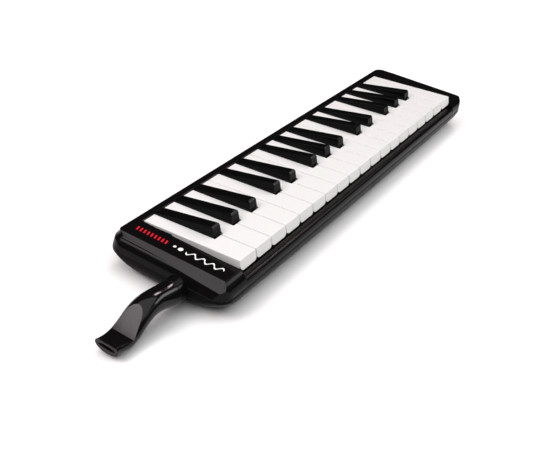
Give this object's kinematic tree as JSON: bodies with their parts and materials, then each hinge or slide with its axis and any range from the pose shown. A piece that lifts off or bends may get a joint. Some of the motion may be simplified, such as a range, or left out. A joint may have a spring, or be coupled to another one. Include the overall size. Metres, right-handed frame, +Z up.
{
  "type": "melodica",
  "caption": "Mouth-blown keyboard with sprung piano keys, a pull-off swivelling mouthpiece, a drain button and a hand strap, in a two-part plastic casing.",
  "frame": {"origin": "centre of the casing's flat base, in the plane it rests on", "axes": "+Z up; +X to the treble end, so the mouthpiece is at -X; the player's side, where the key fronts are, is -Y"},
  "size_m": [0.5182, 0.109, 0.0449],
  "materials": {
    "white_key": "satin white",
    "black_key": "gloss black",
    "casing": "gloss black",
    "lower_casing": "semi-gloss black",
    "collar": "gloss black",
    "mouthpiece": "gloss black",
    "button": "gloss black",
    "bed": "matt black",
    "steel": "zinc plated",
    "spring": "spring steel",
    "brass": "bare brass",
    "reed": "phosphor bronze",
    "rubber": "matt black",
    "felt": "near-black felt",
    "strap": "black grained strap"
  },
  "bodies": {
    "casing": {"upper_casing": "casing", "lower_casing": "lower_casing", "key_bed": "bed", "pivot_rod": "steel", "key_spring_comb": "spring", "white_key_felt": "felt", "black_key_felt": "felt", "reed_plate_low": "brass", "reed_plate_high": "brass", "reeds_low": "reed", "reeds_high": "reed", "reed_rivets": "brass", "reed_plate_screws": "steel", "chest_gasket": "rubber", "wind_chamber": "bed", "mouthpiece_socket": "collar", "drain_guide": "bed", "drain_spring": "spring", "hand_strap": "strap", "strap_blocks": "bed", "strap_screws": "steel", "casing_screws": "steel", "key_bed_screws": "steel"},
    "drain_valve": {"drain_button": "button", "drain_seal": "rubber"},
    "spigot_ring": {"mouthpiece_o_ring": "rubber"},
    "mouthpiece": {"mouthpiece": "mouthpiece"},
    "white_key_01": {"white_key_01": "white_key"},
    "white_key_02": {"white_key_02": "white_key"},
    "white_key_03": {"white_key_03": "white_key"},
    "white_key_04": {"white_key_04": "white_key"},
    "white_key_05": {"white_key_05": "white_key"},
    "white_key_06": {"white_key_06": "white_key"},
    "white_key_07": {"white_key_07": "white_key"},
    "white_key_08": {"white_key_08": "white_key"},
    "white_key_09": {"white_key_09": "white_key"},
    "white_key_10": {"white_key_10": "white_key"},
    "white_key_11": {"white_key_11": "white_key"},
    "white_key_12": {"white_key_12": "white_key"},
    "white_key_13": {"white_key_13": "white_key"},
    "white_key_14": {"white_key_14": "white_key"},
    "white_key_15": {"white_key_15": "white_key"},
    "white_key_16": {"white_key_16": "white_key"},
    "white_key_17": {"white_key_17": "white_key"},
    "white_key_18": {"white_key_18": "white_key"},
    "white_key_19": {"white_key_19": "white_key"},
    "black_key_01": {"black_key_01": "black_key"},
    "black_key_02": {"black_key_02": "black_key"},
    "black_key_03": {"black_key_03": "black_key"},
    "black_key_04": {"black_key_04": "black_key"},
    "black_key_05": {"black_key_05": "black_key"},
    "black_key_06": {"black_key_06": "black_key"},
    "black_key_07": {"black_key_07": "black_key"},
    "black_key_08": {"black_key_08": "black_key"},
    "black_key_09": {"black_key_09": "black_key"},
    "black_key_10": {"black_key_10": "black_key"},
    "black_key_11": {"black_key_11": "black_key"},
    "black_key_12": {"black_key_12": "black_key"},
    "black_key_13": {"black_key_13": "black_key"}
  },
  "joints": [
    {"name": "drain_push", "type": "slide", "parent": "casing", "child": "drain_valve", "axis": [-1, 0, 0], "range_m": [0, 0.0025], "stiffness_N_per_m": 300, "springref_m": -0.003, "deforming": ["drain_spring"]},
    {"name": "mouthpiece_pull", "type": "slide", "parent": "casing", "child": "spigot_ring", "axis": [-1, 0, 0], "range_m": [0, 0.024]},
    {"name": "mouthpiece_turn", "type": "hinge", "parent": "spigot_ring", "child": "mouthpiece", "pos_m": [-0.216, -0.0134, 0.0155], "axis": [1, 0, 0], "range_deg": [-180, 180]},
    {"name": "white_key_01_press", "type": "hinge", "parent": "casing", "child": "white_key_01", "pos_m": [-0.1827, 0.028, 0.0285], "axis": [1, 0, 0], "range_deg": [0, 4.6], "stiffness_Nm_per_rad": 0.15, "springref_deg": -11.46, "deforming": ["key_spring_comb"]},
    {"name": "white_key_02_press", "type": "hinge", "parent": "casing", "child": "white_key_02", "pos_m": [-0.1624, 0.028, 0.0285], "axis": [1, 0, 0], "range_deg": [0, 4.6], "stiffness_Nm_per_rad": 0.15, "springref_deg": -11.46, "deforming": ["key_spring_comb"]},
    {"name": "white_key_03_press", "type": "hinge", "parent": "casing", "child": "white_key_03", "pos_m": [-0.1421, 0.028, 0.0285], "axis": [1, 0, 0], "range_deg": [0, 4.6], "stiffness_Nm_per_rad": 0.15, "springref_deg": -11.46, "deforming": ["key_spring_comb"]},
    {"name": "white_key_04_press", "type": "hinge", "parent": "casing", "child": "white_key_04", "pos_m": [-0.1218, 0.028, 0.0285], "axis": [1, 0, 0], "range_deg": [0, 4.6], "stiffness_Nm_per_rad": 0.15, "springref_deg": -11.46, "deforming": ["key_spring_comb"]},
    {"name": "white_key_05_press", "type": "hinge", "parent": "casing", "child": "white_key_05", "pos_m": [-0.1015, 0.028, 0.0285], "axis": [1, 0, 0], "range_deg": [0, 4.6], "stiffness_Nm_per_rad": 0.15, "springref_deg": -11.46, "deforming": ["key_spring_comb"]},
    {"name": "white_key_06_press", "type": "hinge", "parent": "casing", "child": "white_key_06", "pos_m": [-0.0812, 0.028, 0.0285], "axis": [1, 0, 0], "range_deg": [0, 4.6], "stiffness_Nm_per_rad": 0.15, "springref_deg": -11.46, "deforming": ["key_spring_comb"]},
    {"name": "white_key_07_press", "type": "hinge", "parent": "casing", "child": "white_key_07", "pos_m": [-0.0609, 0.028, 0.0285], "axis": [1, 0, 0], "range_deg": [0, 4.6], "stiffness_Nm_per_rad": 0.15, "springref_deg": -11.46, "deforming": ["key_spring_comb"]},
    {"name": "white_key_08_press", "type": "hinge", "parent": "casing", "child": "white_key_08", "pos_m": [-0.0406, 0.028, 0.0285], "axis": [1, 0, 0], "range_deg": [0, 4.6], "stiffness_Nm_per_rad": 0.15, "springref_deg": -11.46, "deforming": ["key_spring_comb"]},
    {"name": "white_key_09_press", "type": "hinge", "parent": "casing", "child": "white_key_09", "pos_m": [-0.0203, 0.028, 0.0285], "axis": [1, 0, 0], "range_deg": [0, 4.6], "stiffness_Nm_per_rad": 0.15, "springref_deg": -11.46, "deforming": ["key_spring_comb"]},
    {"name": "white_key_10_press", "type": "hinge", "parent": "casing", "child": "white_key_10", "pos_m": [0, 0.028, 0.0285], "axis": [1, 0, 0], "range_deg": [0, 4.6], "stiffness_Nm_per_rad": 0.15, "springref_deg": -11.46, "deforming": ["key_spring_comb"]},
    {"name": "white_key_11_press", "type": "hinge", "parent": "casing", "child": "white_key_11", "pos_m": [0.0203, 0.028, 0.0285], "axis": [1, 0, 0], "range_deg": [0, 4.6], "stiffness_Nm_per_rad": 0.15, "springref_deg": -11.46, "deforming": ["key_spring_comb"]},
    {"name": "white_key_12_press", "type": "hinge", "parent": "casing", "child": "white_key_12", "pos_m": [0.0406, 0.028, 0.0285], "axis": [1, 0, 0], "range_deg": [0, 4.6], "stiffness_Nm_per_rad": 0.15, "springref_deg": -11.46, "deforming": ["key_spring_comb"]},
    {"name": "white_key_13_press", "type": "hinge", "parent": "casing", "child": "white_key_13", "pos_m": [0.0609, 0.028, 0.0285], "axis": [1, 0, 0], "range_deg": [0, 4.6], "stiffness_Nm_per_rad": 0.15, "springref_deg": -11.46, "deforming": ["key_spring_comb"]},
    {"name": "white_key_14_press", "type": "hinge", "parent": "casing", "child": "white_key_14", "pos_m": [0.0812, 0.028, 0.0285], "axis": [1, 0, 0], "range_deg": [0, 4.6], "stiffness_Nm_per_rad": 0.15, "springref_deg": -11.46, "deforming": ["key_spring_comb"]},
    {"name": "white_key_15_press", "type": "hinge", "parent": "casing", "child": "white_key_15", "pos_m": [0.1015, 0.028, 0.0285], "axis": [1, 0, 0], "range_deg": [0, 4.6], "stiffness_Nm_per_rad": 0.15, "springref_deg": -11.46, "deforming": ["key_spring_comb"]},
    {"name": "white_key_16_press", "type": "hinge", "parent": "casing", "child": "white_key_16", "pos_m": [0.1218, 0.028, 0.0285], "axis": [1, 0, 0], "range_deg": [0, 4.6], "stiffness_Nm_per_rad": 0.15, "springref_deg": -11.46, "deforming": ["key_spring_comb"]},
    {"name": "white_key_17_press", "type": "hinge", "parent": "casing", "child": "white_key_17", "pos_m": [0.1421, 0.028, 0.0285], "axis": [1, 0, 0], "range_deg": [0, 4.6], "stiffness_Nm_per_rad": 0.15, "springref_deg": -11.46, "deforming": ["key_spring_comb"]},
    {"name": "white_key_18_press", "type": "hinge", "parent": "casing", "child": "white_key_18", "pos_m": [0.1624, 0.028, 0.0285], "axis": [1, 0, 0], "range_deg": [0, 4.6], "stiffness_Nm_per_rad": 0.15, "springref_deg": -11.46, "deforming": ["key_spring_comb"]},
    {"name": "white_key_19_press", "type": "hinge", "parent": "casing", "child": "white_key_19", "pos_m": [0.1827, 0.028, 0.0285], "axis": [1, 0, 0], "range_deg": [0, 4.6], "stiffness_Nm_per_rad": 0.15, "springref_deg": -11.46, "deforming": ["key_spring_comb"]},
    {"name": "black_key_01_press", "type": "hinge", "parent": "casing", "child": "black_key_01", "pos_m": [-0.17519, 0.028, 0.0285], "axis": [1, 0, 0], "range_deg": [0, 4.6], "stiffness_Nm_per_rad": 0.15, "springref_deg": -11.46, "deforming": ["key_spring_comb"]},
    {"name": "black_key_02_press", "type": "hinge", "parent": "casing", "child": "black_key_02", "pos_m": [-0.15144, 0.028, 0.0285], "axis": [1, 0, 0], "range_deg": [0, 4.6], "stiffness_Nm_per_rad": 0.15, "springref_deg": -11.46, "deforming": ["key_spring_comb"]},
    {"name": "black_key_03_press", "type": "hinge", "parent": "casing", "child": "black_key_03", "pos_m": [-0.12748, 0.028, 0.0285], "axis": [1, 0, 0], "range_deg": [0, 4.6], "stiffness_Nm_per_rad": 0.15, "springref_deg": -11.46, "deforming": ["key_spring_comb"]},
    {"name": "black_key_04_press", "type": "hinge", "parent": "casing", "child": "black_key_04", "pos_m": [-0.09237, 0.028, 0.0285], "axis": [1, 0, 0], "range_deg": [0, 4.6], "stiffness_Nm_per_rad": 0.15, "springref_deg": -11.46, "deforming": ["key_spring_comb"]},
    {"name": "black_key_05_press", "type": "hinge", "parent": "casing", "child": "black_key_05", "pos_m": [-0.06821, 0.028, 0.0285], "axis": [1, 0, 0], "range_deg": [0, 4.6], "stiffness_Nm_per_rad": 0.15, "springref_deg": -11.46, "deforming": ["key_spring_comb"]},
    {"name": "black_key_06_press", "type": "hinge", "parent": "casing", "child": "black_key_06", "pos_m": [-0.03309, 0.028, 0.0285], "axis": [1, 0, 0], "range_deg": [0, 4.6], "stiffness_Nm_per_rad": 0.15, "springref_deg": -11.46, "deforming": ["key_spring_comb"]},
    {"name": "black_key_07_press", "type": "hinge", "parent": "casing", "child": "black_key_07", "pos_m": [-0.00934, 0.028, 0.0285], "axis": [1, 0, 0], "range_deg": [0, 4.6], "stiffness_Nm_per_rad": 0.15, "springref_deg": -11.46, "deforming": ["key_spring_comb"]},
    {"name": "black_key_08_press", "type": "hinge", "parent": "casing", "child": "black_key_08", "pos_m": [0.01462, 0.028, 0.0285], "axis": [1, 0, 0], "range_deg": [0, 4.6], "stiffness_Nm_per_rad": 0.15, "springref_deg": -11.46, "deforming": ["key_spring_comb"]},
    {"name": "black_key_09_press", "type": "hinge", "parent": "casing", "child": "black_key_09", "pos_m": [0.04974, 0.028, 0.0285], "axis": [1, 0, 0], "range_deg": [0, 4.6], "stiffness_Nm_per_rad": 0.15, "springref_deg": -11.46, "deforming": ["key_spring_comb"]},
    {"name": "black_key_10_press", "type": "hinge", "parent": "casing", "child": "black_key_10", "pos_m": [0.07389, 0.028, 0.0285], "axis": [1, 0, 0], "range_deg": [0, 4.6], "stiffness_Nm_per_rad": 0.15, "springref_deg": -11.46, "deforming": ["key_spring_comb"]},
    {"name": "black_key_11_press", "type": "hinge", "parent": "casing", "child": "black_key_11", "pos_m": [0.10901, 0.028, 0.0285], "axis": [1, 0, 0], "range_deg": [0, 4.6], "stiffness_Nm_per_rad": 0.15, "springref_deg": -11.46, "deforming": ["key_spring_comb"]},
    {"name": "black_key_12_press", "type": "hinge", "parent": "casing", "child": "black_key_12", "pos_m": [0.13276, 0.028, 0.0285], "axis": [1, 0, 0], "range_deg": [0, 4.6], "stiffness_Nm_per_rad": 0.15, "springref_deg": -11.46, "deforming": ["key_spring_comb"]},
    {"name": "black_key_13_press", "type": "hinge", "parent": "casing", "child": "black_key_13", "pos_m": [0.15672, 0.028, 0.0285], "axis": [1, 0, 0], "range_deg": [0, 4.6], "stiffness_Nm_per_rad": 0.15, "springref_deg": -11.46, "deforming": ["key_spring_comb"]}
  ]
}
